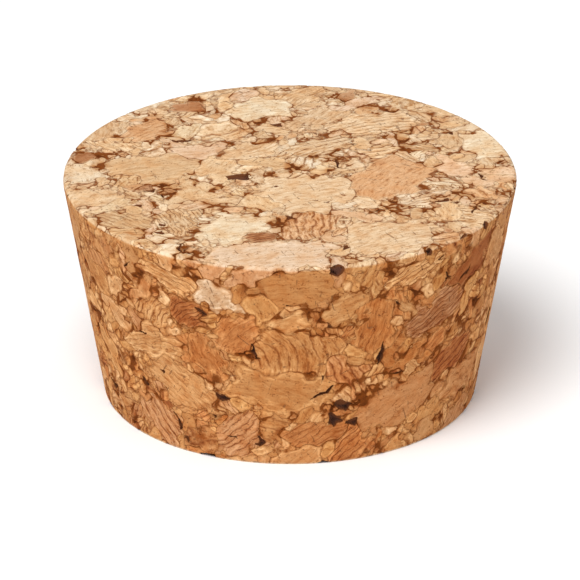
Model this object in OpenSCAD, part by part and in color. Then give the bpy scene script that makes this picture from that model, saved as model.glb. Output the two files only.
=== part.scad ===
// Tapered stopper of agglomerated cork: crumbs of cork pressed and glued into one
// solid, then sanded to a short cone frustum with two flat ends and crisp edges.
// Cracks between the crumbs, pockets where a crumb came out under the sander and
// nicks in the edges stay open.
//
// Millimetres. The origin is the centre of the small end, and +Z runs to the wide end.

/* [Body] */
// Diameter of the wide end, before its edge is rounded
top_d = 45; // [44:0.5:60]
// Diameter of the small end, before its edge is rounded
bottom_d = 37; // [26:0.5:43]
// Height from end to end
height = 23; // [16:0.5:40]
// Radius that sanding leaves on both edges
edge_r = 0.4; // [0.2:0.1:1]

/* [Open places] */
// Cracks and pockets on each square centimetre
open_density = 1.5; // [0.4:0.1:2.4]
// Share of the open places that are pockets
pocket_share = 0.45; // [0.1:0.05:0.9]
// Distance that scattered open places keep from the edges
edge_margin = 3; // [2:0.1:5]

/* [Cracks between crumbs] */
// Length of the longest crack
crack_l = 3.4; // [2:0.1:4.5]
// Width of the widest crack, at its middle
crack_w = 0.6; // [0.3:0.05:0.9]
// Depth of the deepest crack, at its middle
crack_depth = 0.8; // [0.4:0.05:1.2]

/* [Pockets of lost crumbs] */
// Length of the largest lost crumb
crumb_l = 2.2; // [1.2:0.1:2.6]
// Width of the largest lost crumb
crumb_w = 1.7; // [0.8:0.1:2]
// Thickness of the largest lost crumb
crumb_t = 1; // [0.6:0.1:1.4]
// Height of the crumb's middle above the sanded face
crumb_rise = 0.1; // [0:0.05:0.3]

/* [Nicks in the edges] */
// Scattered nicks round the wide end's edge
top_nicks = 5; // [0:1:12]
// Scattered nicks round the small end's edge
bottom_nicks = 4; // [0:1:12]
// Length of the largest nick along its edge
nick_l = 1.4; // [0.8:0.1:2]
// Width of the crumb that left the nick, across its edge
nick_w = 0.7; // [0.4:0.05:1]

/* [Hidden] */
$fn = 120;

cork = [0.83, 0.65, 0.46];

top_r = top_d / 2;
bottom_r = bottom_d / 2;
flare = top_r - bottom_r;
slant = norm([flare, height]);
// Lean of the wall from the vertical
taper = atan2(flare, height);

// Scattered places step by the golden share of the sweep, so that no two line up,
// and then stray a little
golden_share = 0.381966;
stray_share = 0.04;
// Smallest scattered open place or nick, as a share of the largest
least_size = 0.6;
// Tilt of a lost crumb against the sanded face, least and most, which is also how far
// the branch of a crack turns
least_tilt = 12;
most_tilt = 40;
// A crumb's second tilt, as a share of its first
cross_tilt = 0.6;
// Length and width of a crack's branch, and how far from the crack's middle it is
// centred, as shares of the crack's own length and width
branch_l = 0.6;
branch_w = 0.8;
branch_out = 0.35;
// Cutters of cracks start this far above the face
cutter_rise = 0.2;
square_cm = 100;

top_area = PI * pow(top_r, 2);
bottom_area = PI * pow(bottom_r, 2);
wall_area = PI * (top_r + bottom_r) * slant;

// Open places in set positions. Each row: kind, angle round the axis, share of the
// way (out from the centre, or up the wall), size as a share of the largest, spin
// on the face, and the tilt of a pocket or the turn of a crack's branch.
top_set = [
    ["pocket", -173, 0.23, 0.9, 173, 25],
    ["pocket", -164, 0.64, 0.5, 164, 30],
    ["pocket", -153, 0.74, 0.45, 143, 25],
    ["pocket", -136, 0.77, 0.4, 46, 35],
    ["pocket", -133, 0.84, 0.5, 133, 20],
    ["pocket", -90, 0.45, 0.45, 30, 30],
    ["pocket", -73, 0.81, 0.5, 118, 25],
    ["pocket", -69, 0.30, 0.35, 69, 20],
    ["pocket", -61, 0.34, 0.4, 71, 20],
    ["pocket", -23, 0.72, 0.55, 23, 30],
    ["pocket", -23, 0.78, 0.35, 25, 20],
    ["pocket", 32, 0.84, 0.4, 58, 25],
    ["pocket", 96, 0.55, 0.5, -106, 30],
    ["crack", -173, 0.46, 0.5, 106, 40],
    ["crack", -171, 0.76, 0.45, 51, 50],
    ["crack", -158, 0.61, 0.6, 23, 35],
    ["crack", -121, 0.91, 0.85, 126, -60],
    ["crack", -117, 0.16, 0.5, 62, -20],
    ["crack", -45, 0.55, 0.55, -30, 40],
    ["crack", -33, 0.49, 0.4, -72, 20],
    ["crack", -26, 0.89, 0.7, 9, -45],
    ["crack", -2, 0.84, 0.8, -158, 30],
    ["crack", 29, 0.24, 0.8, 151, 55],
    ["crack", 37, 0.44, 0.6, 53, -40],
    ["crack", 52, 0.84, 0.5, 168, -30],
    ["crack", 74, 0.50, 0.45, -164, 40],
    ["crack", 142, 0.59, 0.85, -42, -55]];
wall_set = [
    ["pocket", -155, 0.17, 0.6, 50, 25],
    ["pocket", -136, 0.30, 0.45, 30, 25],
    ["pocket", -129, 0.39, 0.35, 60, 25],
    ["pocket", -123, 0.07, 0.35, 80, 20],
    ["pocket", -114, 0.75, 0.45, 30, 25],
    ["pocket", -110, 0.33, 0.55, 45, 35],
    ["pocket", -99, 0.12, 0.45, 10, 30],
    ["pocket", -80, 0.71, 0.35, 40, 20],
    ["pocket", -77, 0.23, 0.7, 20, 30],
    ["pocket", -75, 0.29, 0.7, 50, 25],
    ["pocket", -72, 0.20, 0.6, 75, 20],
    ["crack", -137, 0.87, 0.6, 50, -25],
    ["crack", -135, 0.55, 0.5, 0, 20],
    ["crack", -125, 0.14, 0.8, 100, 25],
    ["crack", -108, 0.13, 0.5, -20, -35],
    ["crack", -100, 0.58, 0.7, -78, 50],
    ["crack", -91, 0.82, 0.4, 0, 30],
    ["crack", -82, 0.36, 0.9, 33, 15],
    ["crack", -81, 0.44, 0.4, -35, 30],
    ["crack", -65, 0.52, 0.9, 85, -15],
    ["crack", -61, 0.76, 0.5, 110, 30],
    ["crack", -59, 0.41, 0.5, 10, -30],
    ["crack", -49, 0.94, 0.45, 40, 20],
    ["crack", -46, 0.84, 0.55, -60, 45],
    ["crack", -39, 0.79, 0.8, 32, 15]];
// Nicks in set positions. Each row: angle round the axis, size against the largest
// scattered one, tilt, and turn from along the edge to across it.
top_nick_set = [[-78, 1.6, 35, 80], [-53, 1, 28, 90], [-41, 0.9, 20, 10],
                [-31, 1.1, 25, 70]];
bottom_nick_set = [[-116, 1.2, 15, 10], [-80, 1, 30, 0]];
// The side of the wall that the set rows cover, and the rest, where places are scattered
set_start = -165;
set_sweep = 140;
rest_start = set_start + set_sweep;
rest_sweep = 360 - set_sweep;

// The number of open places that an area holds besides its set ones
function count_on(area, set = []) =
    max(0, round(area * open_density / square_cm) - len(set));

// Pockets come evenly among the cracks
function kind(i) =
    floor((i + 1) * pocket_share) > floor(i * pocket_share) ? "pocket" : "crack";

function between(low, high, share) = low + (high - low) * share;

// The angle of the scattered place with this number, in a sweep from start
function stepped(i, stray, start, sweep) =
    let (turns = i * golden_share + between(-stray_share, stray_share, stray))
    start + sweep * (turns - floor(turns));

// Rows for scattered open places. Each seed gives the same rows every time.
function scattered(n, seed, start = 0, sweep = 360) = [
    for (i = [0:1:n - 1])
        let (c = rands(0, 1, 5, seed + i))
        [kind(i), stepped(i, c[0], start, sweep), (i + c[1]) / n,
         between(least_size, 1, c[2]), 360 * c[3],
         between(least_tilt, most_tilt, c[4])]];

// Rows for scattered nicks, which all lie across the edge
function scattered_nicks(n, seed) = [
    for (i = [0:1:n - 1])
        let (c = rands(0, 1, 3, seed + i))
        [rest_start + rest_sweep * (i + c[0]) / n, between(least_size, 1, c[1]),
         between(least_tilt, most_tilt, c[2]), 90]];

// Half of the section through the axis. The circles fill the clipped corners to
// true arcs, tangent to the end and to the wall.
module half_section() {
    top_clip = edge_r * tan((90 + taper) / 2);
    bottom_clip = edge_r * tan((90 - taper) / 2);
    along_wall = [sin(taper), cos(taper)];
    polygon([
        [0, 0],
        [bottom_r - bottom_clip, 0],
        [bottom_r, 0] + bottom_clip * along_wall,
        [top_r, height] - top_clip * along_wall,
        [top_r - top_clip, height],
        [0, height]]);
    translate([bottom_r - bottom_clip, edge_r]) circle(edge_r);
    translate([top_r - top_clip, height - edge_r]) circle(edge_r);
}

// The children's +Z points out of the face that they are placed on
module on_top(angle, r) {
    rotate([0, 0, angle]) translate([r, 0, height]) children();
}

module on_bottom(angle, r) {
    rotate([0, 0, angle]) translate([r, 0, 0]) rotate([180, 0, 0]) children();
}

module on_wall(angle, up) {
    r = bottom_r + flare * up / slant;
    z = height * up / slant;
    rotate([0, 0, angle]) translate([r, 0, z]) rotate([0, 90 + taper, 0]) children();
}

// A long groove of V section, with its bottom at this depth under the face
module groove(width, depth, l) {
    rim_half_w = width / 2 * (1 + cutter_rise / depth);
    rotate([90, 0, 0])
        linear_extrude(l, center = true)
            polygon([[-rim_half_w, cutter_rise], [0, -depth], [rim_half_w, cutter_rise]]);
}

// Two grooves that cross at a narrow angle share a slit with a mouth pointed at
// both ends, deepest at its middle
module slit(l, width, depth) {
    half_cross = atan2(width, l);
    groove_w = l * sin(half_cross);
    intersection_for (turn = [-half_cross, half_cross])
        rotate([0, 0, turn]) groove(groove_w, depth, 2 * l);
}

// A crack follows the sides of two crumbs: a slit, and a shorter one that leaves it
module crack(size, turn) {
    l = crack_l * size;
    width = crack_w * size;
    depth = crack_depth * size;
    slit(l, width, depth);
    translate([0, l * branch_out, 0])
        rotate([0, 0, turn]) slit(l * branch_l, width * branch_w, depth * branch_w);
}

// A pocket keeps the faces of the tilted crumb that came out of it
module pocket(size, tilt) {
    translate([0, 0, crumb_rise])
        rotate([tilt, cross_tilt * tilt, 0])
            cube([crumb_l, crumb_w, crumb_t] * size, center = true);
}

// The open place that a row describes
module open_place(row) {
    rotate([0, 0, row[4]])
        if (row[0] == "pocket") pocket(row[3], row[5]);
        else crack(row[3], row[5]);
}

// A nick keeps the faces of the slanted crumb that came out of the edge
module nick(row) {
    rotate([row[3], row[2], row[2]])
        cube([nick_w, nick_l, nick_w] * row[1], center = true);
}

module open_places() {
    for (row = top_set) on_top(row[1], top_r * row[2]) open_place(row);
    for (row = wall_set) on_wall(row[1], slant * row[2]) open_place(row);
    for (row = scattered(count_on(top_area, top_set), 100))
        on_top(row[1], (top_r - edge_margin) * sqrt(row[2])) open_place(row);
    for (row = scattered(count_on(bottom_area), 300))
        on_bottom(row[1], (bottom_r - edge_margin) * sqrt(row[2])) open_place(row);
    for (row = scattered(count_on(wall_area, wall_set), 500, rest_start, rest_sweep))
        on_wall(row[1], between(edge_margin, slant - edge_margin, row[2]))
            open_place(row);
}

module nicks() {
    for (row = concat(top_nick_set, scattered_nicks(top_nicks, 700)))
        on_top(row[0], top_r) nick(row);
    for (row = concat(bottom_nick_set, scattered_nicks(bottom_nicks, 800)))
        on_bottom(row[0], bottom_r) nick(row);
}

module stopper() {
    color(cork)
        difference() {
            rotate_extrude() half_section();
            open_places();
            nicks();
        }
}

stopper();
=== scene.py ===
"""A tapered cork stopper on a plain pale stage.

The stopper's skin is one mesh, cut along the outlines of the pressed cork crumbs that the
sander left, with the cracks, pockets and nicks of the CAD solid kept where they are.
Lengths are in millimetres for the skin and in its material, and in metres for the written
mesh, the stage, the lamps and the camera."""

import math
from collections import namedtuple

import bpy
import numpy as np
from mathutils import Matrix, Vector, noise
from mathutils.bvhtree import BVHTree
from mathutils.kdtree import KDTree


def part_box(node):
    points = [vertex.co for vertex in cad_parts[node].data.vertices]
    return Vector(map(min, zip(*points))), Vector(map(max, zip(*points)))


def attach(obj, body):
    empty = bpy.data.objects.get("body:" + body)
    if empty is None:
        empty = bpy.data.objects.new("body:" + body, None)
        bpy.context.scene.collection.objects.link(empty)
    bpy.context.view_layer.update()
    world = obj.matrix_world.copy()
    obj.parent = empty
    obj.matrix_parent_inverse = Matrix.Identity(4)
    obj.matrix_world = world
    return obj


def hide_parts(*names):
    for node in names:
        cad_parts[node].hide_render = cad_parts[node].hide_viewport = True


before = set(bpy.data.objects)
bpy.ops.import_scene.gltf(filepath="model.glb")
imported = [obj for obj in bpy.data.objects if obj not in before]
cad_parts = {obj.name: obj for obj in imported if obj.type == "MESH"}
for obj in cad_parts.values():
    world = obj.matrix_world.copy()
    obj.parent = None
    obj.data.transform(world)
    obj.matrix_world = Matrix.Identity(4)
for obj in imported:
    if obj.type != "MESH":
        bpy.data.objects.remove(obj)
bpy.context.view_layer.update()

MM = 0.001
SEED = 7
NODE = "stopper"
NODE_LOW, NODE_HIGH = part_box(NODE)

# The plain form, as the CAD has it
HEIGHT = (NODE_HIGH.z - NODE_LOW.z) / MM
TOP_R = 22.5
BOTTOM_R = 18.5
EDGE_R = 0.4
FLARE = TOP_R - BOTTOM_R
TAPER = math.atan2(FLARE, HEIGHT)

# Mesh fineness
DISC_RINGS = 45
RIM_STEPS = 3
WALL_STEPS = 55
PIT_REACH = 0.8       # triangles this near to an open place are made finer

# Crumbs: semi-axes of each class as (least, most), the second and third as shares of the
# first, how far from the surface its middles may lie, and how many places are tried
CRUMB_CLASSES = {
    "slab": dict(long=(2.8, 4.6), wide=(0.6, 0.85), thick=(0.35, 0.55), reach=3.0, tries=1200),
    "flake": dict(long=(1.6, 3.4), wide=(0.3, 0.65), thick=(0.22, 0.4), reach=2.2, tries=8000),
    "crumb": dict(long=(0.7, 1.5), wide=(0.35, 0.7), thick=(0.25, 0.5), reach=1.0, tries=14000),
}
LYING = (0.8, 0.8, 1.0)   # pressing laid the crumbs' thin way rather along the axis
FACETS = 12           # planes that bound one crumb
ROUGHLY = 0.22        # how unevenly those planes are set
ROOM = 0.72           # an outline between two crumbs lies at no less than this gauge
SET_ROOM = 0.88       # and at no less than this one where the earlier crumb is set
AXIS_STRAY = 0.25     # how far a crumb's growth leans from its thin way
LINE_SPACING = (0.4, 1.0)
LINE_BEND = (5, 35)   # radius of the growth lines

# Crumbs in set places. On the wide end x and y are millimetres, on the wall they are the
# angle round the axis and the height. Then the length, width and turn of the section, its
# tone, and the strength, direction, spacing and radius of its growth lines.
Mark = namedtuple("Mark", "x y long wide turn tone lines run spacing bend",
                  defaults=(0.3, 20, 0.6, 15))
TOP_MARKS = [
    Mark(1.6, -5.3, 9.0, 8.0, 10, "cream"),
    Mark(7.0, -6.6, 4.5, 2.5, -20, "cream"),
    Mark(10.0, -1.2, 11.0, 7.5, 80, "orange", 0.4, 60),
    Mark(-1.6, -19.6, 12.0, 6.8, 5, "blush", 0.0),
    Mark(-13.0, 1.2, 8.0, 7.0, 20, "tan"),
    Mark(-6.0, -12.8, 7.5, 5.0, 60, "pale", 0.1),
    Mark(1.8, -12.2, 6.5, 4.5, 85, "orange", 1.2, 88, 0.75, 30),
    Mark(9.2, -15.6, 8.5, 7.5, 15, "cream", 0.4, 30),
    Mark(-3.4, 16.0, 6.0, 5.0, 40, "pale", 0.2),
    Mark(19.2, 7.0, 7.0, 4.0, 110, "pale", 0.2),
    Mark(-9.0, 5.6, 5.5, 3.2, 10, "rosy", 0.1),
    Mark(8.7, 12.0, 9.0, 4.5, 15, "cream", 0.7, 20, 0.7, 12),
    Mark(16.6, 1.2, 6.0, 3.2, -50, "rosy", 0.2),
    Mark(-16.0, -11.0, 5.0, 3.5, -30, "tan", 0.6, -40),
    Mark(3.2, 7.0, 8.0, 3.5, 25, "cream", 0.9, 30, 0.8, 14),
    Mark(-14.0, 11.0, 5.0, 4.0, 50, "orange", 0.5, 40),
    Mark(-10.2, 16.3, 3.0, 2.5, 0, "russet"),
    Mark(-20.6, 3.8, 1.8, 2.2, 0, "russet", 0.0),
    Mark(-14.6, 13.6, 3.5, 1.0, 25, "orange", 0.0),
    Mark(-3.2, -15.0, 4.6, 2.2, 12, "russet", 1.2, 20, 0.45),
]
WALL_MARKS = [
    Mark(-89.5, 13.1, 9.4, 5.0, -6, "tan", 0.7, -72, 0.95, 5),
    Mark(-89.5, 16.7, 6.6, 1.6, 8, "cream", 0.3, 8, 0.5, 6),
    Mark(-94, 8.8, 9.6, 4.6, -4, "tan", 0.15, -15),
    Mark(-57, 6.1, 11.5, 4.4, 18, "rosy", 0.1),
    Mark(-111, 19.2, 4.8, 3.0, -38, "bone", 0.1),
    Mark(-129, 15.8, 5.0, 2.6, 25, "pale", 1.0, 60, 0.6, 5),
    Mark(-119, 16.8, 3.0, 3.0, 0, "russet", 0.9, 40, 0.45, 4),
    Mark(-123, 8.3, 8.0, 4.4, -32, "pale", 0.5, -32),
    Mark(-131, 12.0, 8.0, 3.0, 10, "pale", 0.6, 12),
    Mark(-124, 20.4, 8.5, 2.4, -14, "pale", 0.8, -14, 0.6, 14),
    Mark(-91, 20.8, 10.4, 3.2, 2, "tan", 0.1, 3),
    Mark(-34.5, 19.3, 8.0, 3.2, 35, "russet", 0.3, 35),
    Mark(-59, 20.6, 7.5, 2.0, 22, "pale", 0.9, 22, 0.5, 30),
    Mark(-45, 15.4, 8.0, 3.6, 22, "dun", 1.0, 22, 0.55, 40),
    Mark(-46, 12.2, 6.0, 1.6, 35, "orange", 0.6, 35, 0.5),
    Mark(-41, 9.0, 7.0, 3.0, 30, "russet", 0.9, 30, 0.8, 20),
    Mark(-82, 3.6, 6.0, 2.6, 5, "orange", 0.6, 30),
    Mark(-105.5, 14.7, 4.5, 3.4, 70, "orange", 0.5, 50, 0.7, 6),
    Mark(-76, 18.2, 4.0, 2.6, 20, "cream"),
]
MARK_THICKNESS = 0.8  # depth of a set crumb as a share of its width

# Tones of cork, as sRGB from 0 to 255: on an end, and on the wall, which is darker and
# redder, partly as its own sanded colour and partly as painted shade and painted warm
# bounce light. A crumb at an edge shows both.
TONES = {
    "blush": ((220, 188, 155), (203, 146, 100)),
    "bone": ((233, 210, 178), (209, 168, 128)),
    "pale": ((230, 204, 168), (209, 152, 97)),
    "cream": ((223, 189, 149), (203, 145, 90)),
    "tan": ((212, 173, 129), (193, 132, 77)),
    "rosy": ((222, 184, 148), (197, 136, 85)),
    "orange": ((213, 165, 120), (187, 119, 66)),
    "dun": ((190, 150, 112), (174, 115, 72)),
    "russet": ((174, 120, 80), (162, 93, 47)),
}
TONE_SHARES = {
    "slab": dict(pale=2, cream=6, tan=5, rosy=3, orange=2),
    "flake": dict(pale=3, cream=6, tan=6, rosy=3, orange=2, russet=0.3),
    "crumb": dict(pale=4, cream=5, tan=5, rosy=2, orange=3, russet=0.7),
}


def linear(srgb):
    """sRGB from 0 to 255 as linear colour from 0 to 1."""
    c = np.asarray(srgb, float) / 255
    return np.where(c <= 0.04045, c / 12.92, ((c + 0.055) / 1.055) ** 2.4)


def unit(v):
    """Vectors brought to length 1."""
    return v / np.linalg.norm(v, axis=-1, keepdims=True)


def smoothstep(low, high, x):
    """0 below low, 1 above high and smooth between them."""
    t = np.clip((x - low) / (high - low), 0, 1)
    return t * t * (3 - 2 * t)


# ---- The skin: a triangle mesh with arrays of values on its points and its triangles

# What a triangle is split into, by how many sides are cut. 0 to 2 are its corners, 3 to 5
# the points on the sides that follow them, and 6 is its middle.
SPLITS = {
    0: [(0, 1, 2)],
    1: [(0, 3, 2), (3, 1, 2)],
    2: [(3, 1, 4), (0, 3, 4), (0, 4, 2)],
    3: [(0, 3, 5), (1, 4, 3), (2, 5, 4), (3, 4, 5)],
}
ROUND_MIDDLE = [(0, 3, 6), (0, 6, 5), (1, 4, 6), (1, 6, 3), (2, 5, 6), (2, 6, 4)]


class Skin(namedtuple("Skin", "points tris faces")):
    """points and faces map a name to an array with one row for each point or triangle."""

    def edges(self):
        """Every edge as two point numbers, and the three edge numbers of each triangle.
        A triangle's side i runs from its corner i to its next corner."""
        sides = self.tris[:, [0, 1, 1, 2, 2, 0]].reshape(-1, 2)
        count = len(self.points["place"])
        keys, number = np.unique(sides.min(1) * count + sides.max(1), return_inverse=True)
        return np.stack(divmod(keys, count), 1), number.reshape(-1, 3)

    def split(self, ends, sides, cut, share=0.5, meet=False):
        """Puts a point on each cut edge, at `share` of the way along it, and splits the
        triangles there. With meet, a triangle cut on all sides gets a point in its middle.
        Returns the new skin and, for each new triangle, the old point on its side."""
        count = len(self.points["place"])
        new = np.full(len(ends), -1)
        new[cut] = count + np.arange(cut.sum())
        cut_thrice = cut[sides].all(1)
        middle = np.full(len(sides), -1)
        middle[cut_thrice] = count + cut.sum() + np.arange(cut_thrice.sum())
        tris, parents, owners = self.split_triangles(cut[sides], new[sides], middle, meet)

        points = {}
        share = np.broadcast_to(share, len(ends))[cut]
        for name, values in self.points.items():
            t = share.reshape((-1,) + (1,) * (values.ndim - 1))
            on_edges = values[ends[cut, 0]] * (1 - t) + values[ends[cut, 1]] * t
            parts = [values, on_edges]
            if meet:
                parts.append(on_edges[new[sides[cut_thrice]] - count].mean(1))
            points[name] = np.concatenate(parts)
        faces = {name: values[parents] for name, values in self.faces.items()}
        return Skin(points, tris, faces), owners

    def split_triangles(self, marked, new, middle, meet):
        """The triangles split at the new points on their marked sides, the old triangle
        that each new one lies in and the old point on its side."""
        cuts = marked.sum(1)
        lead = np.select([cuts == 1, cuts == 2],
                         [marked.argmax(1), (marked.argmin(1) + 1) % 3], 0)
        order = (lead[:, None] + np.arange(3)) % 3
        seven = np.concatenate([np.take_along_axis(self.tris, order, 1),
                                np.take_along_axis(new, order, 1), middle[:, None]], 1)
        tris, parents, owners = [], [], []
        for count, parts in SPLITS.items():
            which = np.flatnonzero(cuts == count)
            for part in ROUND_MIDDLE if meet and count == 3 else parts:
                tris.append(seven[which][:, part])
                parents.append(which)
                owners.append(seven[which, min(part) % 3])
        return np.concatenate(tris), np.concatenate(parents), np.concatenate(owners)


def arc_rows(centre_r, centre_z, start, end):
    """Rows of (radius, height, normal's radius part, normal's height part) on an edge."""
    angle = np.linspace(start, end, RIM_STEPS + 1)
    cos, sin = np.cos(angle), np.sin(angle)
    return np.stack([centre_r + EDGE_R * cos, centre_z + EDGE_R * sin, cos, sin], 1)


def profile():
    """Rows down the outside, from the wide end's flat face to the small end's."""
    top_clip = EDGE_R * math.tan((math.pi / 2 + TAPER) / 2)
    bottom_clip = EDGE_R * math.tan((math.pi / 2 - TAPER) / 2)
    top = arc_rows(TOP_R - top_clip, HEIGHT - EDGE_R, math.pi / 2, -TAPER)
    bottom = arc_rows(BOTTOM_R - bottom_clip, EDGE_R, -TAPER, -math.pi / 2)
    down = np.linspace(0, 1, WALL_STEPS + 1)[1:-1, None]
    wall = top[-1] * (1 - down) + bottom[0] * down
    return np.concatenate([top, wall, bottom])


def unit_disc(rings):
    """A disc of even triangles: ring k has 6 k points. Points as (radius, turn)."""
    points, tris = [np.zeros((1, 2))], []
    inner = np.zeros(1, int)
    for k in range(1, rings + 1):
        count = 6 * k
        outer = inner[-1] + 1 + np.arange(count)
        points.append(np.stack([np.full(count, k / rings),
                                np.arange(count) * math.tau / count], 1))
        sector, step = np.divmod(np.arange(count), k)
        within = inner[(sector * (k - 1) + step) % len(inner)]
        tris.append(np.stack([outer, np.roll(outer, -1), within], 1))
        if k > 1:
            between = step < k - 1
            after = inner[(sector * (k - 1) + step + 1) % len(inner)]
            tris.append(np.stack([np.roll(outer, -1), after, within], 1)[between])
        inner = outer
    return np.concatenate(points), np.concatenate(tris)


def ring_points(radius, turn, z, normal_r, normal_z):
    """Places and normals of points at these turns round the axis."""
    cos, sin = np.cos(turn), np.sin(turn)
    place = np.stack([radius * cos, radius * sin, np.broadcast_to(z, turn.shape)], 1)
    normal = np.stack([normal_r * cos, normal_r * sin,
                       np.broadcast_to(normal_z, turn.shape)], 1)
    return place, normal


def band_triangles(rings):
    """Triangles between rows of point numbers, each row one turn round the axis."""
    upper, lower = rings[:-1], rings[1:]
    upper_next, lower_next = np.roll(upper, -1, 1), np.roll(lower, -1, 1)
    return np.concatenate([
        np.stack([upper, lower, upper_next], -1).reshape(-1, 3),
        np.stack([upper_next, lower, lower_next], -1).reshape(-1, 3)])


def plain_skin():
    """The frustum with rounded edges. place and normal are as they would be with no
    crumbs, and `down` is the way down the profile from the wide end's flat face. The
    patches are 0 on the wide end, 1 on the edges and the wall, and 2 on the small end."""
    disc, disc_tris = unit_disc(DISC_RINGS)
    rows = profile()
    around = 6 * DISC_RINGS
    last = len(rows) - 1
    twist = math.pi / around  # each row turns by half a step, for even triangles

    rim = np.arange(around) * math.tau / around
    parts = [ring_points(disc[:, 0] * rows[0, 0], disc[:, 1], HEIGHT, 0, 1)]
    for j in range(1, last):
        parts.append(ring_points(rows[j, 0], rim + j * twist, *rows[j, 1:]))
    parts.append(ring_points(disc[::-1, 0] * rows[-1, 0], disc[::-1, 1] + last * twist,
                             0, 0, -1))

    step_down = np.linalg.norm(np.diff(rows[:, :2], axis=0), axis=1)
    row_down = np.concatenate([[0], np.cumsum(step_down)])
    in_disc = len(disc)
    down = np.concatenate([np.zeros(in_disc), np.repeat(row_down[1:last], around),
                           np.full(in_disc, row_down[-1])])

    # The discs' outer rings are the first and the last row of the band between them
    total = len(down)
    rings = np.arange(in_disc - around, in_disc - around + around * (last + 1))
    rings = rings.reshape(last + 1, around)
    rings[-1] = (total - 1) - np.arange(in_disc - around, in_disc)
    patches = disc_tris, band_triangles(rings), (total - 1 - disc_tris)[:, ::-1]
    return Skin({"place": np.concatenate([place for place, _ in parts]),
                 "normal": np.concatenate([normal for _, normal in parts]),
                 "down": down},
                np.concatenate(patches),
                {"patch": np.repeat([0, 1, 2], [len(tris) for tris in patches])})


# ---- Noise

SEED_STEP = (-3.7, 11.9, 6.1)   # from where one seed's noise is read to the next one's


def ripple(places, spacing, seed):
    """Smooth noise for points, about -1 to 1, with bumps about `spacing` apart."""
    away = Vector([seed * step for step in SEED_STEP])
    return np.array([noise.noise(Vector(p) / spacing + away) for p in places])


def patchy(places, least, low, high, spacing, seed):
    """Noise that is least where the ripple is below low, and 1 where it is above high."""
    return least + (1 - least) * smoothstep(low, high, ripple(places, spacing, seed))


def wobble(places, spacing, size, seed):
    """Smooth noise vectors for points, up to about `size` long."""
    return size * np.stack([ripple(places, spacing, 3 * seed + k) for k in range(3)], 1)


# ---- The open places of the CAD solid

LIFT = 0.5            # rays start this far outside the plain form
PIT_LEAST = 0.03      # less than this under the plain form isn't an open place
ROUNDING = 0.16       # the edges' rounding lies no deeper than this under the sharp form
SPOTS_PER_EDGE = 8
HALVINGS = 6          # of an edge, to find where an open place's rim crosses it
RAGGED = dict(spacing=0.8, size=0.5, seed=20)   # the bends in the rims of open places
RIM_CALM = (0.6, 1.6) # nearer to the ends' edges than this the bends fade out


def inset(places):
    """How far points lie under the sharp-edged form: below zero is outside."""
    radius, z = np.hypot(places[:, 0], places[:, 1]), places[:, 2]
    wall = (BOTTOM_R + FLARE * z / HEIGHT - radius) * math.cos(TAPER)
    return np.minimum(wall, np.minimum(z, HEIGHT - z))


def open_spots(mesh):
    """Points along the mesh edges that run down into the open places."""
    places = np.empty(3 * len(mesh.vertices))
    mesh.vertices.foreach_get("co", places)
    places = places.reshape(-1, 3) / MM
    ends = np.empty(2 * len(mesh.edges), int)
    mesh.edges.foreach_get("vertices", ends)
    ends = ends.reshape(-1, 2)
    deep = (inset(places) > ROUNDING)[ends].any(1)
    start, stop = places[ends[deep, 0]], places[ends[deep, 1]]
    share = np.linspace(0, 1, SPOTS_PER_EDGE)[:, None, None]
    return (start * (1 - share) + stop * share).reshape(-1, 3)


def ragged(places, normals):
    """The places moved along the surface a little, so that rims found there are ragged."""
    shift = wobble(places, **RAGGED)
    shift -= normals * (shift * normals).sum(1, keepdims=True)
    radius, z = np.hypot(places[:, 0], places[:, 1]), places[:, 2]
    from_edge = np.minimum(np.hypot(radius - TOP_R, z - HEIGHT), np.hypot(radius - BOTTOM_R, z))
    return places + shift * smoothstep(*RIM_CALM, from_edge)[:, None]


def depth_under(tree, skin_points):
    """How deep the solid's surface lies under points of the skin."""
    depth = np.zeros(len(skin_points["probe"]))
    for i, (p, n) in enumerate(zip(skin_points["probe"], unit(skin_points["normal"]))):
        hit = tree.ray_cast(Vector((p + n * LIFT) * MM), Vector(-n))[3]
        if hit is not None:
            depth[i] = hit / MM - LIFT
    return np.maximum(depth, 0)


def between(points, ends, share):
    """Points at a share of the way along edges."""
    t = share[:, None]
    return {name: points[name][ends[:, 0]] * (1 - t) + points[name][ends[:, 1]] * t
            for name in ("probe", "normal")}


def finer_at_pits(skin, node):
    """The skin with finer triangles round the node's open places, its points' depth there
    and the tree that finds depths. They are found at `probe`, a little beside the point."""
    spots = open_spots(node.data)
    near = KDTree(len(spots))
    for i, spot in enumerate(spots):
        near.insert(spot, i)
    near.balance()
    skin.points["probe"] = ragged(skin.points["place"], unit(skin.points["normal"]))
    close = np.array([near.find(p)[2] < PIT_REACH for p in skin.points["probe"]])
    ends, sides = skin.edges()
    skin, _ = skin.split(ends, sides, close[ends].all(1))

    tree = BVHTree.FromObject(node, bpy.context.evaluated_depsgraph_get())
    depth = depth_under(tree, skin.points)
    ends, sides = skin.edges()
    in_pit = depth > PIT_LEAST
    skin, _ = skin.split(ends, sides, in_pit[ends].any(1))
    return skin, depth_under(tree, skin.points), tree


def pit_rims(points, depth, ends, tree):
    """For edges with one end in an open place, how far along each the rim lies."""
    first_in = depth[ends[:, 0]] > PIT_LEAST
    inside, outside = np.where(first_in, 0.0, 1.0), np.where(first_in, 1.0, 0.0)
    for _ in range(HALVINGS):
        middle = (inside + outside) / 2
        deep = depth_under(tree, between(points, ends, middle)) > PIT_LEAST
        inside, outside = np.where(deep, middle, inside), np.where(deep, outside, middle)
    return (inside + outside) / 2


# ---- The crumbs: convex bodies bounded by planes
# A crumb's gauge at a point is 1 on its own facets and less inside. Each point of the skin
# belongs to the crumb of least gauge.


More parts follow.
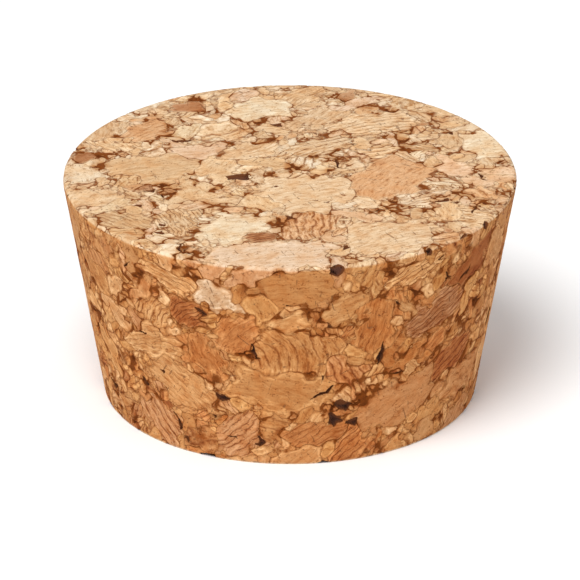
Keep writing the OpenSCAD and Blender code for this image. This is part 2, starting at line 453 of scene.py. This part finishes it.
def even_directions(count):
    """Unit vectors spread evenly over the sphere, on a spiral."""
    z = 1 - (2 * np.arange(count) + 1) / count
    turn = np.arange(count) * math.pi * (3 - math.sqrt(5))
    r = np.sqrt(1 - z * z)
    return np.stack([r * np.cos(turn), r * np.sin(turn), z], 1)


def facets(rng, axes, frames):
    """The bounding planes of crumbs with these semi-axes and frames (three unit rows)."""
    count = len(axes)
    directions = unit(even_directions(FACETS) + rng.normal(0, ROUGHLY, (count, FACETS, 3)))
    distance = 1 + rng.uniform(-ROUGHLY, ROUGHLY, (count, FACETS, 1))
    return directions / distance / axes[:, None, :] @ frames


def gauge(offset, planes):
    """Gauge of each crumb at an offset from its middle."""
    return np.einsum("...kj,...j->...k", planes, offset).max(-1)


def places_near_skin(rng, count, reach):
    """Random places no farther than reach from the surface, inside or out."""
    low = np.array([-TOP_R - reach, -TOP_R - reach, -reach])
    high = np.array([TOP_R + reach, TOP_R + reach, HEIGHT + reach])
    found = np.zeros((0, 3))
    while len(found) < count:
        tried = rng.uniform(low, high, (4 * count, 3))
        found = np.concatenate([found, tried[np.abs(inset(tried)) < reach]])
    return found[:count]


def crumb_table(rng, kind, tones, middle, axes, frames, axis, bend, lines, spacing):
    """One row for each crumb. Its growth lines are shells round a far point on its axis."""
    return {
        "kind": np.full(len(middle), kind),
        "end_tone": np.array([linear(TONES[t][0]) for t in tones]),
        "wall_tone": np.array([linear(TONES[t][1]) for t in tones]),
        "middle": middle,
        "planes": facets(rng, axes, frames),
        "radius": axes[:, 0] * (1 + ROUGHLY),
        "axis": axis,
        "focus": middle - axis * bend[:, None],
        "lines": lines,
        "spacing": spacing,
    }


def set_crumbs(rng, marks, on_wall):
    """The crumbs in set places. East, north and out are the surface's own directions."""
    x, y, long, wide, turn, run, bend, lines, spacing = (
        np.array([getattr(m, name) for m in marks], float)
        for name in "x y long wide turn run bend lines spacing".split())
    if on_wall:
        a = np.radians(x)
        r = BOTTOM_R + FLARE * y / HEIGHT
        middle = np.stack([r * np.cos(a), r * np.sin(a), y], 1)
        east = np.stack([-np.sin(a), np.cos(a), 0 * a], 1)
        out = np.stack([np.cos(a) * math.cos(TAPER), np.sin(a) * math.cos(TAPER),
                        0 * a - math.sin(TAPER)], 1)
    else:
        middle = np.stack([x, y, np.full(len(x), HEIGHT)], 1)
        east = np.tile((1.0, 0.0, 0.0), (len(x), 1))
        out = np.tile((0.0, 0.0, 1.0), (len(x), 1))
    north = np.cross(out, east)

    def towards(degrees):
        a = np.radians(degrees)[:, None]
        return np.cos(a) * east + np.sin(a) * north

    frames = np.stack([towards(turn), towards(turn + 90), out], 1)
    axes = np.stack([long, wide, wide * MARK_THICKNESS], 1) / 2
    return crumb_table(rng, "set", [m.tone for m in marks], middle, axes, frames,
                       towards(run + 90), bend, lines, spacing)


def random_crumbs(rng, kind):
    """Scattered crumbs of one class, wherever they may come to lie."""
    rule = CRUMB_CLASSES[kind]
    count = rule["tries"]
    shares = TONE_SHARES[kind]
    weight = np.array(list(shares.values())) / sum(shares.values())
    long = rng.uniform(*rule["long"], count)
    axes = long[:, None] * np.stack([np.ones(count), rng.uniform(*rule["wide"], count),
                                     rng.uniform(*rule["thick"], count)], 1)
    thin = unit(rng.normal(size=(count, 3)) * LYING)
    along = unit(np.cross(thin, rng.normal(size=(count, 3))))
    frames = np.stack([along, np.cross(thin, along), thin], 1)
    return crumb_table(rng, kind, rng.choice(list(shares), count, p=weight),
                       places_near_skin(rng, count, rule["reach"]), axes, frames,
                       unit(thin + rng.normal(0, AXIS_STRAY, (count, 3))),
                       rng.uniform(*LINE_BEND, count), rng.uniform(0, 1, count),
                       rng.uniform(*LINE_SPACING, count))


def pack_crumbs(rng):
    """Set crumbs first, then the classes from the largest on. A scattered crumb is left
    out where it would press an earlier one out of its shape."""
    tables = [set_crumbs(rng, TOP_MARKS, False), set_crumbs(rng, WALL_MARKS, True)]
    tables += [random_crumbs(rng, kind) for kind in CRUMB_CLASSES]
    every = {key: np.concatenate([t[key] for t in tables]) for key in tables[0]}
    is_set = every["kind"] == "set"
    room = np.where(is_set, SET_ROOM, ROOM)
    kept = np.zeros(0, int)
    for i, (middle, planes, radius) in enumerate(
            zip(every["middle"], every["planes"], every["radius"])):
        offset = middle - every["middle"][kept]
        near = np.linalg.norm(offset, axis=1) < ROOM * (every["radius"][kept] + radius)
        theirs = gauge(offset[near], every["planes"][kept[near]])
        own = gauge(-offset[near], planes)
        pressed = theirs * own / (theirs + own) < room[kept[near]]
        if is_set[i] or not pressed.any():
            kept = np.append(kept, i)
    return {key: column[kept] for key, column in every.items()}


REACH_OUT = 2.6       # how far from its middle a crumb is asked for, in its radii


def nearest_two(crumbs, places):
    """For each place the crumb of least gauge and the next one, or -1 where none is."""
    count = len(places)
    first, second = np.full(count, -1), np.full(count, -1)
    low, next_low = np.full(count, np.inf), np.full(count, np.inf)
    for i, middle in enumerate(crumbs["middle"]):
        offset = places - middle
        reach = REACH_OUT * crumbs["radius"][i]
        near = np.flatnonzero((offset ** 2).sum(1) < reach ** 2)
        own = (offset[near] @ crumbs["planes"][i].T).max(1, initial=0)
        wins = own < low[near]
        won, lost = near[wins], near[~wins]
        second[won], next_low[won] = first[won], low[won]
        first[won], low[won] = i, own[wins]
        closer = own[~wins] < next_low[lost]
        second[lost[closer]], next_low[lost[closer]] = i, own[~wins][closer]
    return first, second


# ---- The skin cut along the crumbs' outlines

WARP = ((2.6, 0.9), (0.9, 0.5))   # spacing and size of the bends in the outlines
EDGE_SHARE = 0.06     # a cut keeps this share of an edge from its ends
FAR = 9.0             # stands for the outline's distance where there is none
NO_CRUMB = -1         # stands for a point's crumb where it lies between crumbs
LEAST_SLOPE = 1e-3    # keeps that distance finite where two crumbs' gauges run alike


def steepest(crumbs, which, places):
    """The gauge of one crumb at each place, and the facet that sets it."""
    planes = crumbs["planes"][which]
    values = np.einsum("nkj,nj->nk", planes, places - crumbs["middle"][which])
    return values.max(1), planes[np.arange(len(which)), values.argmax(1)]


def outline_distance(crumbs, first, second, places, normals):
    """Roughly how far each place is from its crumb's outline, along the surface."""
    own, own_slope = steepest(crumbs, first, places)
    other, other_slope = steepest(crumbs, second, places)
    slope = other_slope - own_slope
    slope -= normals * (slope * normals).sum(1, keepdims=True)
    steepness = np.maximum(np.linalg.norm(slope, axis=1), LEAST_SLOPE)
    return np.where(second < 0, FAR, (other - own) / steepness)


def outline_share(crumbs, first, ends, places):
    """For edges between two crumbs, how far along each the outline lies."""
    (own_a, other_a), (other_b, own_b) = (
        [steepest(crumbs, first[crumb_end], places[at_end])[0] for crumb_end in ends.T]
        for at_end in ends.T)
    lead, lag = other_a - own_a, other_b - own_b
    return lead / (lead + lag)


def cut_outlines(skin, depth, tree, crumbs):
    """Cuts the skin along the outlines of its crumbs and of the open places."""
    places = skin.points["place"]
    for seed, (spacing, size) in enumerate(WARP):
        places = places + wobble(skin.points["place"], spacing, size, seed)
    first, second = nearest_two(crumbs, places)
    in_pit = depth > PIT_LEAST
    skin.points["depth"] = depth
    skin.points["outline"] = outline_distance(crumbs, first, second, places,
                                              unit(skin.points["normal"]))
    ends, sides = skin.edges()
    at_crumb = first[ends[:, 0]] != first[ends[:, 1]]
    at_rim = in_pit[ends[:, 0]] != in_pit[ends[:, 1]]
    share = np.zeros(len(ends))
    share[at_crumb] = outline_share(crumbs, first, ends[at_crumb], places)
    share[at_rim] = pit_rims(skin.points, depth, ends[at_rim], tree)
    share = np.clip(share, EDGE_SHARE, 1 - EDGE_SHARE)

    # The new skin has the old points, then one on each cut, then the triangles' middles
    cut = at_crumb | at_rim
    skin, owner = skin.split(ends, sides, cut, share, meet=True)
    points = skin.points
    on_cut = len(places) + np.arange(cut.sum())
    points["meet"] = np.arange(len(points["place"])) > on_cut[-1]
    points["outline"][on_cut[at_crumb[cut]]] = 0
    points["outline"][points["meet"]] = 0
    points["depth"][on_cut[at_rim[cut]]] = 0
    points["crumb"] = np.full(len(points["place"]), NO_CRUMB)
    points["crumb"][:len(places)] = first
    skin.faces["crumb"] = first[owner]
    return skin


# ---- Relief

GAP_MOST = 0.32       # width of the gap between two crumbs
MEET_GAP = 0.08       # how much wider it is where three meet
GROOVE = 0.6          # depth of a gap as a share of its width
ON_OUTLINE = 0.02     # points this near to an outline lie in its gap

# What varies the gap's width from place to place: the least share of it that is left, the
# ripple's values where it is least and where it is full, and the ripple's spacing and seed
GAP_VARIES = [
    dict(least=0.0, low=-0.15, high=0.4, spacing=1.5, seed=11),
    dict(least=0.5, low=-0.2, high=0.6, spacing=0.8, seed=12),
    dict(least=0.35, low=-0.3, high=0.45, spacing=4.5, seed=10),
]
LOST_SHARE = 0.02     # crumbs of the least class that came out
LOST_DEPTH = 0.4      # how deep they leave a hole, at most
LOST_RIM = 0.1        # its depth at the crumb's outline
LOST_SLOPE = 1.4      # and how fast it deepens from there
STAND_MOST = 0.05     # how much lower than its neighbours a crumb may lie
STAND_RISE = 0.3      # and how far from its outline it lies that low


def gap_width(points):
    """Width of the gap that each point would have if it lay on an outline."""
    width = np.full(len(points["place"]), GAP_MOST)
    for rule in GAP_VARIES:
        width *= patchy(points["place"], **rule)
    return width + MEET_GAP * points["meet"]


def sink_relief(skin, crumbs, rng):
    """Presses the skin in at the outlines and at lost crumbs."""
    points = skin.points
    outline = points["outline"]
    points["gap"] = gap_width(points)
    groove = GROOVE * points["gap"] * (outline < ON_OUTLINE)

    count = len(crumbs["kind"])
    lost = (crumbs["kind"] == "crumb") & (rng.uniform(size=count) < LOST_SHARE)
    stand = rng.uniform(0, STAND_MOST, count)
    own = points["crumb"] != NO_CRUMB
    crumb = points["crumb"][own]
    low = np.zeros(len(outline))
    low[own] = np.where(lost[crumb],
                        np.clip(LOST_RIM + LOST_SLOPE * outline[own], 0, LOST_DEPTH),
                        stand[crumb] * smoothstep(0, STAND_RISE, outline[own]))
    points["sink"] = np.maximum(np.maximum(groove, low), points["depth"])
    points["place"] -= unit(points["normal"]) * points["sink"][:, None]


# ---- The mesh object

# The most that a scattered crumb's tone strays, in red, green and blue, and how much of
# its difference from the mean tone it keeps
STRAYS = {"end_tone": (0.0, 0.045, 0.13), "wall_tone": (0.05, 0.12, 0.27)}
CONTRAST = {"end_tone": 0.75, "wall_tone": 1.0}
SHADES = (0.94, 1.03) # how dark and how light any crumb may be beside its tone
SHEET = 99.0          # width of the unrolled skin's sheet
SHEET_GAP = 1.2


def unrolled(skin, flat_place):
    """Places of the triangles' corners on a sheet: both ends, and the wall in two strips."""
    corner = flat_place[skin.tris]
    down = skin.points["down"][skin.tris]
    turn = np.arctan2(corner[..., 1], corner[..., 0])
    middle = corner.mean(1)
    middle_turn = np.arctan2(middle[:, 1], middle[:, 0])[:, None]
    turn = middle_turn + (turn - middle_turn + math.pi) % math.tau - math.pi
    back = middle_turn[:, 0] > 0
    strip_top = np.where(back, 2 * TOP_R + 2 * SHEET_GAP,
                         2 * TOP_R + 3 * SHEET_GAP + skin.points["down"].max())[:, None]
    start = np.where(back, 0, -math.pi)[:, None]
    wall = np.stack([SHEET_GAP + (turn - start) * TOP_R, strip_top + down], -1)
    top = corner[..., :2] + TOP_R + SHEET_GAP
    bottom = corner[..., :2] * (-1, 1) + (2 * TOP_R + 2 * SHEET_GAP + BOTTOM_R,
                                          BOTTOM_R + SHEET_GAP)
    patch = skin.faces["patch"][:, None, None]
    return np.choose(patch, (top, wall, bottom)) / SHEET


def add_attribute(mesh, name, kind, domain, values):
    """Gives the mesh values that its material can ask for by name."""
    field = {"FLOAT": "value", "FLOAT_VECTOR": "vector", "FLOAT_COLOR": "color"}[kind]
    mesh.attributes.new(name, kind, domain).data.foreach_set(
        field, np.ascontiguousarray(values, np.float32).ravel())


def crumb_tones(crumbs, name, rng):
    """Each crumb's colour on the ends or on the wall, a little off its tone."""
    tone = crumbs[name]
    free = (crumbs["kind"] != "set")[:, None]
    mean = tone[free[:, 0]].mean(0)
    tone = np.where(free, mean + CONTRAST[name] * (tone - mean), tone)
    stray = 1 + STRAYS[name] * rng.uniform(-1, 1, free.shape) * free
    tone = tone * rng.uniform(*SHADES, free.shape) * stray
    return np.concatenate([tone, np.ones(free.shape)], 1)


def add_crumb_values(mesh, skin, crumbs, rng):
    """Holds each triangle's crumb and each point's place in it for the material."""
    crumb = skin.faces["crumb"]
    for name in STRAYS:
        add_attribute(mesh, name, "FLOAT_COLOR", "FACE", crumb_tones(crumbs, name, rng)[crumb])
    chance = rng.uniform(size=len(crumbs["kind"]))
    traits = np.stack([crumbs["lines"], crumbs["spacing"], chance], 1)
    add_attribute(mesh, "focus", "FLOAT_VECTOR", "FACE", crumbs["focus"][crumb])
    add_attribute(mesh, "axis", "FLOAT_VECTOR", "FACE", crumbs["axis"][crumb])
    add_attribute(mesh, "traits", "FLOAT_VECTOR", "FACE", traits[crumb])
    add_attribute(mesh, "side", "FLOAT", "POINT",
                  1 - np.abs(unit(skin.points["normal"])[:, 2]))
    for name in ("outline", "gap", "sink", "depth"):
        add_attribute(mesh, name, "FLOAT", "POINT", skin.points[name])


def add_object(name, data, place=None):
    """Puts an object into the scene, facing the stopper if it gets a place."""
    thing = bpy.data.objects.new(name, data)
    bpy.context.scene.collection.objects.link(thing)
    if place is not None:
        thing.location = place
        thing.rotation_euler = (CAMERA_AIM - place).to_track_quat("-Z", "Y").to_euler()
    return thing


def build_stopper():
    """The stopper as one object."""
    rng = np.random.default_rng(SEED)
    skin, depth, tree = finer_at_pits(plain_skin(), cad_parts[NODE])
    crumbs = pack_crumbs(rng)
    skin = cut_outlines(skin, depth, tree, crumbs)
    flat_place = skin.points["place"].copy()
    sink_relief(skin, crumbs, rng)

    mesh = bpy.data.meshes.new("stopper_skin")
    mesh.from_pydata(skin.points["place"] * MM, [], skin.tris)
    mesh.shade_smooth()
    mesh.uv_layers.new(name="OFBake").data.foreach_set(
        "uv", unrolled(skin, flat_place).astype(np.float32).ravel())
    add_crumb_values(mesh, skin, crumbs, rng)
    mesh.materials.append(cork_material())
    return add_object("stopper_skin", mesh)


# ---- Materials


class Graph:
    """Short names for making shader nodes."""

    def __init__(self, owner):
        owner.use_nodes = True
        self.tree = owner.node_tree
        self.tree.nodes.clear()

    def node(self, kind, inputs=(), **settings):
        """A node with these settings. inputs maps its sockets to values or sockets."""
        node = self.tree.nodes.new(kind)
        for name, value in settings.items():
            setattr(node, name, value)
        for name, value in dict(inputs).items():
            if isinstance(value, bpy.types.NodeSocket):
                self.tree.links.new(value, node.inputs[name])
            else:
                node.inputs[name].default_value = value
        return node

    def math(self, operation, *values):
        return self.node("ShaderNodeMath", enumerate(values), operation=operation).outputs[0]

    def plus(self, a, b):
        return self.math("ADD", a, b)

    def minus(self, a, b):
        return self.math("SUBTRACT", a, b)

    def times(self, a, b):
        return self.math("MULTIPLY", a, b)

    def vector(self, operation, inputs, output="Vector"):
        return self.node("ShaderNodeVectorMath", inputs, operation=operation).outputs[output]

    def scaled(self, vector, scale):
        return self.vector("SCALE", {0: vector, "Scale": scale})

    def attribute(self, name, output="Vector"):
        return self.node("ShaderNodeAttribute", attribute_name=name).outputs[output]

    def noise(self, place, scale, detail, roughness=0.5):
        return self.node("ShaderNodeTexNoise", {"Vector": place, "Scale": scale,
                                                "Detail": detail, "Roughness": roughness}
                         ).outputs["Fac"]

    def step(self, start, full, value):
        """0 at start, 1 at full, which may be the lower one, and smooth between them."""
        return self.node("ShaderNodeMapRange",
                         {"Value": value, "From Min": start, "From Max": full},
                         interpolation_type="SMOOTHSTEP").outputs["Result"]

    def mix(self, factor, a, b, blend="MIX"):
        """Colour a, or b where the factor is 1. Blended by MULTIPLY, b dyes a instead."""
        node = self.node("ShaderNodeMix", data_type="RGBA", blend_type=blend)
        for socket, value in ((node.inputs[0], factor), (node.inputs[6], a),
                              (node.inputs[7], b)):
            if isinstance(value, bpy.types.NodeSocket):
                self.tree.links.new(value, socket)
            elif socket.type == "RGBA":
                socket.default_value = (*value, 1)
            else:
                socket.default_value = value
        return node.outputs[2]


# Noises: bumps in a millimetre, detail, and the roughness where it isn't plain. For those
# in GROWTH the places are scaled: along the growth lines by the first number, and across
# them by the sum of both.
NOISES = {
    "bend": (0.5, 2.0),
    "unbroken": (1.2, 2.0),
    "haired": (1.7, 2.0),
    "fine": (5.0, 3.0, 0.6),
    "broad": (0.55, 4.0, 0.6),
    "streak": (1.0, 4.0, 0.7),
    "hair": (1.0, 3.0),
    "pore": (1.0, 2.0),
}
GROWTH = {"streak": (0.7, 2.2), "hair": (1.1, 1.3), "pore": (3.2, -2.5)}
NOISE_MIDDLE = 0.5    # a noise's mean value
BEND = 1.2            # how far the growth lines bend
APART = 40.0          # how far off one crumb's streaks are read from another's
THINNESS = (10.0, -7.0)   # growth lines' power, and what their strength adds to it
GRAIN = (0.45, 0.7)   # strength of the streaks, and what the lines' strength adds to it
FRAY = 0.12           # how much the fine noise moves the borders of gaps and stains
DRAWN = (0.03, 0.52)  # half width of a gap's dark line, and what the gap's width adds

# Masks: the value where each starts and the one where it is full
MASKS = {
    # by the skin's slope, which is 0 on the ends
    "wall": (0.5, 0.8),
    "off the ends": (0.0, 0.15),
    "off the wall": (0.8, 0.5),
    # by the strength of the crumb's lines, and by chance
    "lined": (0.2, 0.9),
    "lit crumb": (0.2, 0.6),
    # by noise
    "unbroken": (0.3, 0.55),
    "hair": (0.022, 0.006),
    "haired": (0.48, 0.6),
    "pore": (0.66, 0.74),
    "dark streak": (0.48, 0.7),
    "pale streak": (0.52, 0.3),
    "dark patch": (0.45, 0.65),
    "pale patch": (0.5, 0.35),
    "speck": (0.5, 0.8),
    # by the way to the crumb's outline
    "meeting": (0.4, 0.0),
    # the band of the painted highlight beside the gaps
    "off the gap": (0.1, 0.25),
    "off the middle": (0.8, 0.3),
    "stain": (1.05, 0.0),
    "line": (1.3, 0.7),   # where the way is 1 at half the line's width
    # by the gap's width
    "stained gap": (0.0, 0.2),
    "gap": (-0.05, 0.12),
    "deep gap": (0.14, 0.24),
    # by depth, for the dark of hollows and open places: cork dust and partly painted shade
    "hollow": (0.16, 0.38),
    "pit": (0.02, 0.1),
    "pit floor": (0.1, 0.5),
}

# Dyes, which multiply the colour, and paints, which cover it: how strongly, and in what
# linear colour. Two colours are for the ends and for the wall.
DYES = {
    "dark streak": (1.0, (0.6, 0.41, 0.24)),
    "pale streak": (1.0, (1.18, 1.3, 1.45), (1.26, 1.42, 1.62)),
    "dark patch": (0.6, (0.92, 0.76, 0.6)),
    "pale patch": (0.5, (1.0, 1.06, 1.15)),
    "speck": (0.5, (0.6, 0.44, 0.3)),
    "growth line": (0.85, (0.45, 0.26, 0.14)),
    "hair": (0.85, (0.38, 0.22, 0.12)),
    # a painted highlight on the rounded edges between the ends and the wall
    "painted rim highlight": (0.25, (1.1, 1.16, 1.25)),
    # lit: a painted highlight on some crumbs' borders beside the gaps, partly their own paler
    # edges
    "lit": (0.8, (1.14, 1.2, 1.27), (1.36, 1.56, 1.8)),
    "stain": (0.95, (0.6, 0.36, 0.17)),
}
PAINTS = {
    "pore": (0.6, (0.2, 0.08, 0.03)),
    "gap": (1.0, (0.2, 0.05, 0.006)),
    "deep gap": (0.8, (0.1, 0.021, 0.002)),
    # hollow, pit and pit floor: the dark brown of dust and voids, and partly painted shade in
    # the recesses
    "hollow": (1.0, (0.09, 0.024, 0.006)),
    "pit": (1.0, (0.13, 0.04, 0.012)),
    "pit floor": (1.0, (0.1, 0.04, 0.025)),
}
MEETING_TONES = (TONES["cream"][0], TONES["tan"][1])   # on the ends and on the wall
MEETING = 0.6         # how much of its own tone a crumb loses at its outline

# Heights, in millimetres, of the relief that is too fine for the mesh
FINE_RISE = 0.05
STREAK_RISE = 0.05
MARK_FALL = 0.06
ROUGHNESS = 0.9
SPECULAR = 0.1


class CorkGraph(Graph):
    """The cork's nodes, and the values that lie in its mesh or follow from them."""

    def __init__(self, material):
        super().__init__(material)
        traits = self.node("ShaderNodeSeparateXYZ", {0: self.attribute("traits")}).outputs
        self.lines, self.spacing, self.chance = traits
        self.place = self.scaled(self.node("ShaderNodeTexCoord").outputs["Object"], 1 / MM)
        self.axis = self.attribute("axis")
        self.outline, self.gap, self.sink, self.depth, self.side = (
            self.attribute(name, "Fac") for name in ("outline", "gap", "sink", "depth", "side"))
        self.wall = self.mask("wall", self.side)
        self.fine = self.cork_noise("fine")
        self.make_growth()
        fray = self.times(self.minus(self.fine, NOISE_MIDDLE), FRAY)
        self.near = self.plus(self.outline, fray)
        share = self.math("DIVIDE", self.near, self.rising(DRAWN, self.gap))
        self.line = self.mask("line", share)

    def cork_noise(self, name):
        return self.noise(self.place, *NOISES[name])

    def mask(self, name, value):
        return self.step(*MASKS[name], value)

    def rising(self, rule, value):
        """rule[0] + rule[1] * value"""
        return self.plus(self.times(value, rule[1]), rule[0])

    def dyed(self, colour, name, mask):
        """The colour with a dye, as far as the mask is full."""
        strength, *dyes = DYES[name]
        dye = self.mix(self.wall, *dyes) if len(dyes) > 1 else dyes[0]
        return self.mix(self.times(mask, strength), colour,
                        self.mix(1.0, colour, dye, "MULTIPLY"))

    def painted(self, colour, name, mask):
        """The colour under a paint, as far as the mask is full."""
        strength, paint = PAINTS[name]
        return self.mix(self.times(mask, strength), colour, paint)

    def make_growth(self):
        """Growth lines are shells round the crumb's far point, bent a little. Streaks
        and hairlines lie along them, pores across them."""
        far = self.vector("DISTANCE", {0: self.place, 1: self.attribute("focus")}, "Value")
        along = self.plus(far, self.times(self.cork_noise("bend"), BEND))
        wave = self.math("SINE", self.times(self.math("DIVIDE", along, self.spacing), math.tau))
        ring = self.math("POWER", self.math("MAXIMUM", wave, 0.0),
                         self.rising(THINNESS, self.lines))
        ring = self.times(ring, self.mask("unbroken", self.cork_noise("unbroken")))
        self.ring = self.times(ring, self.mask("lined", self.lines))

        apart = self.plus(along, self.times(self.chance, APART))
        self.streak = self.growth_noise("streak", apart)
        ridge = self.math("ABSOLUTE", self.minus(self.growth_noise("hair", apart), NOISE_MIDDLE))
        self.hair = self.times(self.mask("hair", ridge),
                               self.mask("haired", self.cork_noise("haired")))
        self.pore = self.mask("pore", self.growth_noise("pore", apart))

    def growth_noise(self, name, apart):
        """Noise that is drawn out along the growth lines or across them."""
        evenly, across = GROWTH[name]
        drawn_out = self.scaled(self.axis, self.times(apart, across))
        place = self.vector("ADD", {0: self.scaled(self.place, evenly), 1: drawn_out})
        return self.noise(place, *NOISES[name])

    def crumb_colour(self):
        """The crumb's tone, nearer to a middle one at its outline, under its marks.
        A painted highlight leaves the ends' rounded edges a little paler."""
        # On the wall the tones carry painted shade and painted bounce light besides the side's
        # own colour
        colour = self.mix(self.wall, self.attribute("end_tone", "Color"),
                          self.attribute("wall_tone", "Color"))
        meeting = self.mix(self.wall, *(linear(tone) for tone in MEETING_TONES))
        colour = self.mix(self.times(self.mask("meeting", self.outline), MEETING), colour,
                          meeting)
        grain = self.rising(GRAIN, self.lines)
        broad = self.cork_noise("broad")
        for name in ("dark streak", "pale streak"):
            colour = self.dyed(colour, name, self.times(self.mask(name, self.streak), grain))
        for name, value in (("dark patch", broad), ("pale patch", broad), ("speck", self.fine)):
            colour = self.dyed(colour, name, self.mask(name, value))
        colour = self.dyed(colour, "growth line", self.ring)
        colour = self.painted(colour, "pore", self.pore)
        colour = self.dyed(colour, "hair", self.hair)
        # A painted highlight on the rounded edges of the ends
        edge = self.times(self.mask("off the ends", self.side),
                          self.mask("off the wall", self.side))
        return self.dyed(colour, "painted rim highlight", edge)

    def with_gaps(self, colour):
        """The colour with a painted highlight along some crumbs' pale borders, then stains
        beside the gaps, dark lines in them, and the hollows and open places, partly in painted
        shade."""
        # A painted highlight beside the gaps on some crumbs, partly their own paler edges
        lit = self.times(self.mask("off the gap", self.near),
                         self.mask("off the middle", self.near))
        lit = self.times(lit, self.mask("lit crumb", self.chance))
        colour = self.dyed(colour, "lit", lit)
        stain = self.times(self.mask("stain", self.near), self.mask("stained gap", self.gap))
        colour = self.dyed(colour, "stain", stain)
        for name in ("gap", "deep gap"):
            drawn = self.times(self.line, self.mask(name, self.gap))
            colour = self.painted(colour, name, drawn)
        # The hollows and open places darken: cork dust and partly painted shade
        for name, value in (("hollow", self.sink), ("pit", self.depth),
                            ("pit floor", self.depth)):
            colour = self.painted(colour, name, self.mask(name, value))
        return colour

    def relief(self):
        """The normal, tilted by the relief that is too fine for the mesh."""
        rise = self.plus(self.times(self.fine, FINE_RISE), self.times(self.streak, STREAK_RISE))
        fall = self.times(self.plus(self.line, self.plus(self.ring, self.pore)), MARK_FALL)
        return self.node("ShaderNodeBump", {"Strength": 1.0, "Distance": MM,
                                            "Height": self.minus(rise, fall)}).outputs[0]


def cork_material():
    """Pressed cork crumbs and what lies between them."""
    material = bpy.data.materials.new("cork")
    g = CorkGraph(material)
    shader = g.node("ShaderNodeBsdfPrincipled", {
        "Base Color": g.with_gaps(g.crumb_colour()), "Roughness": ROUGHNESS,
        "Specular IOR Level": SPECULAR, "Normal": g.relief()})
    g.node("ShaderNodeOutputMaterial", {"Surface": shader.outputs[0]})
    return material


# ---- Stage, lamps and camera, in metres

FLOOR_R = 3.0
FLOOR_Z = 0.1 * MM    # just above the small end's face, which light from below then reaches
FLOOR_OPEN_R = (BOTTOM_R - 1.0) * MM
FLOOR_SIDES = 96
FLOOR_WHITE = (0.96, 0.96, 0.96, 1)
CAMERA_PLACE = Vector((-0.0035, -0.698, 0.3345))
CAMERA_AIM = Vector((0, -0.001, 0.0108))
CAMERA_LENS = 480
LAMPS = {
    # name: place, size, power
    "key": ((-0.2, -0.42, 0.8), 0.5, 6.75),
    "fill": ((0.6, -0.5, 0.35), 0.6, 0.4),
}
WORLD_LIGHT = 0.55


def floor_material():
    """White from above, and clear from below."""
    material = bpy.data.materials.new("floor")
    g = Graph(material)
    white = g.node("ShaderNodeBsdfDiffuse", {"Color": FLOOR_WHITE}).outputs[0]
    clear = g.node("ShaderNodeBsdfTransparent").outputs[0]
    under = g.node("ShaderNodeNewGeometry").outputs["Backfacing"]
    shader = g.node("ShaderNodeMixShader", {0: under, 1: white, 2: clear})
    g.node("ShaderNodeOutputMaterial", {"Surface": shader.outputs[0]})
    return material


def make_stage():
    """A floor that is open under the small end, so that views from below show it lit."""
    turn = np.arange(FLOOR_SIDES) * math.tau / FLOOR_SIDES
    ring = np.stack([np.cos(turn), np.sin(turn), 0 * turn], 1)
    inner = np.arange(FLOOR_SIDES)
    outer = inner + FLOOR_SIDES
    mesh = bpy.data.meshes.new("floor")
    mesh.from_pydata(np.concatenate([ring * FLOOR_OPEN_R, ring * FLOOR_R]), [],
                     np.stack([inner, outer, np.roll(outer, -1), np.roll(inner, -1)], 1))
    mesh.materials.append(floor_material())
    floor = add_object("floor", mesh)
    floor.location.z = FLOOR_Z


def make_lamps():
    """Round area lamps that face the stopper."""
    for name, (place, size, power) in LAMPS.items():
        lamp = bpy.data.lights.new(name, "AREA")
        lamp.shape, lamp.size, lamp.energy = "DISK", size, power
        add_object(name, lamp, Vector(place))


def make_world():
    """White where it is seen or mirrored, and weaker as a light."""
    world = bpy.data.worlds.new("studio")
    g = Graph(world)
    rays = g.node("ShaderNodeLightPath").outputs
    seen = g.math("MAXIMUM", rays["Is Camera Ray"], rays["Is Glossy Ray"])
    strength = g.math("MAXIMUM", seen, WORLD_LIGHT)
    light = g.node("ShaderNodeBackground", {"Color": (1, 1, 1, 1), "Strength": strength})
    g.node("ShaderNodeOutputWorld", {"Surface": light.outputs[0]})
    bpy.context.scene.world = world


def make_camera():
    data = bpy.data.cameras.new("camera")
    data.lens = CAMERA_LENS
    bpy.context.scene.camera = add_object("camera", data, CAMERA_PLACE)


make_camera()
make_stage()
make_lamps()
make_world()
stopper = build_stopper()
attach(stopper, "root")
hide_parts(NODE)
bpy.context.scene.view_settings.view_transform = "Standard"
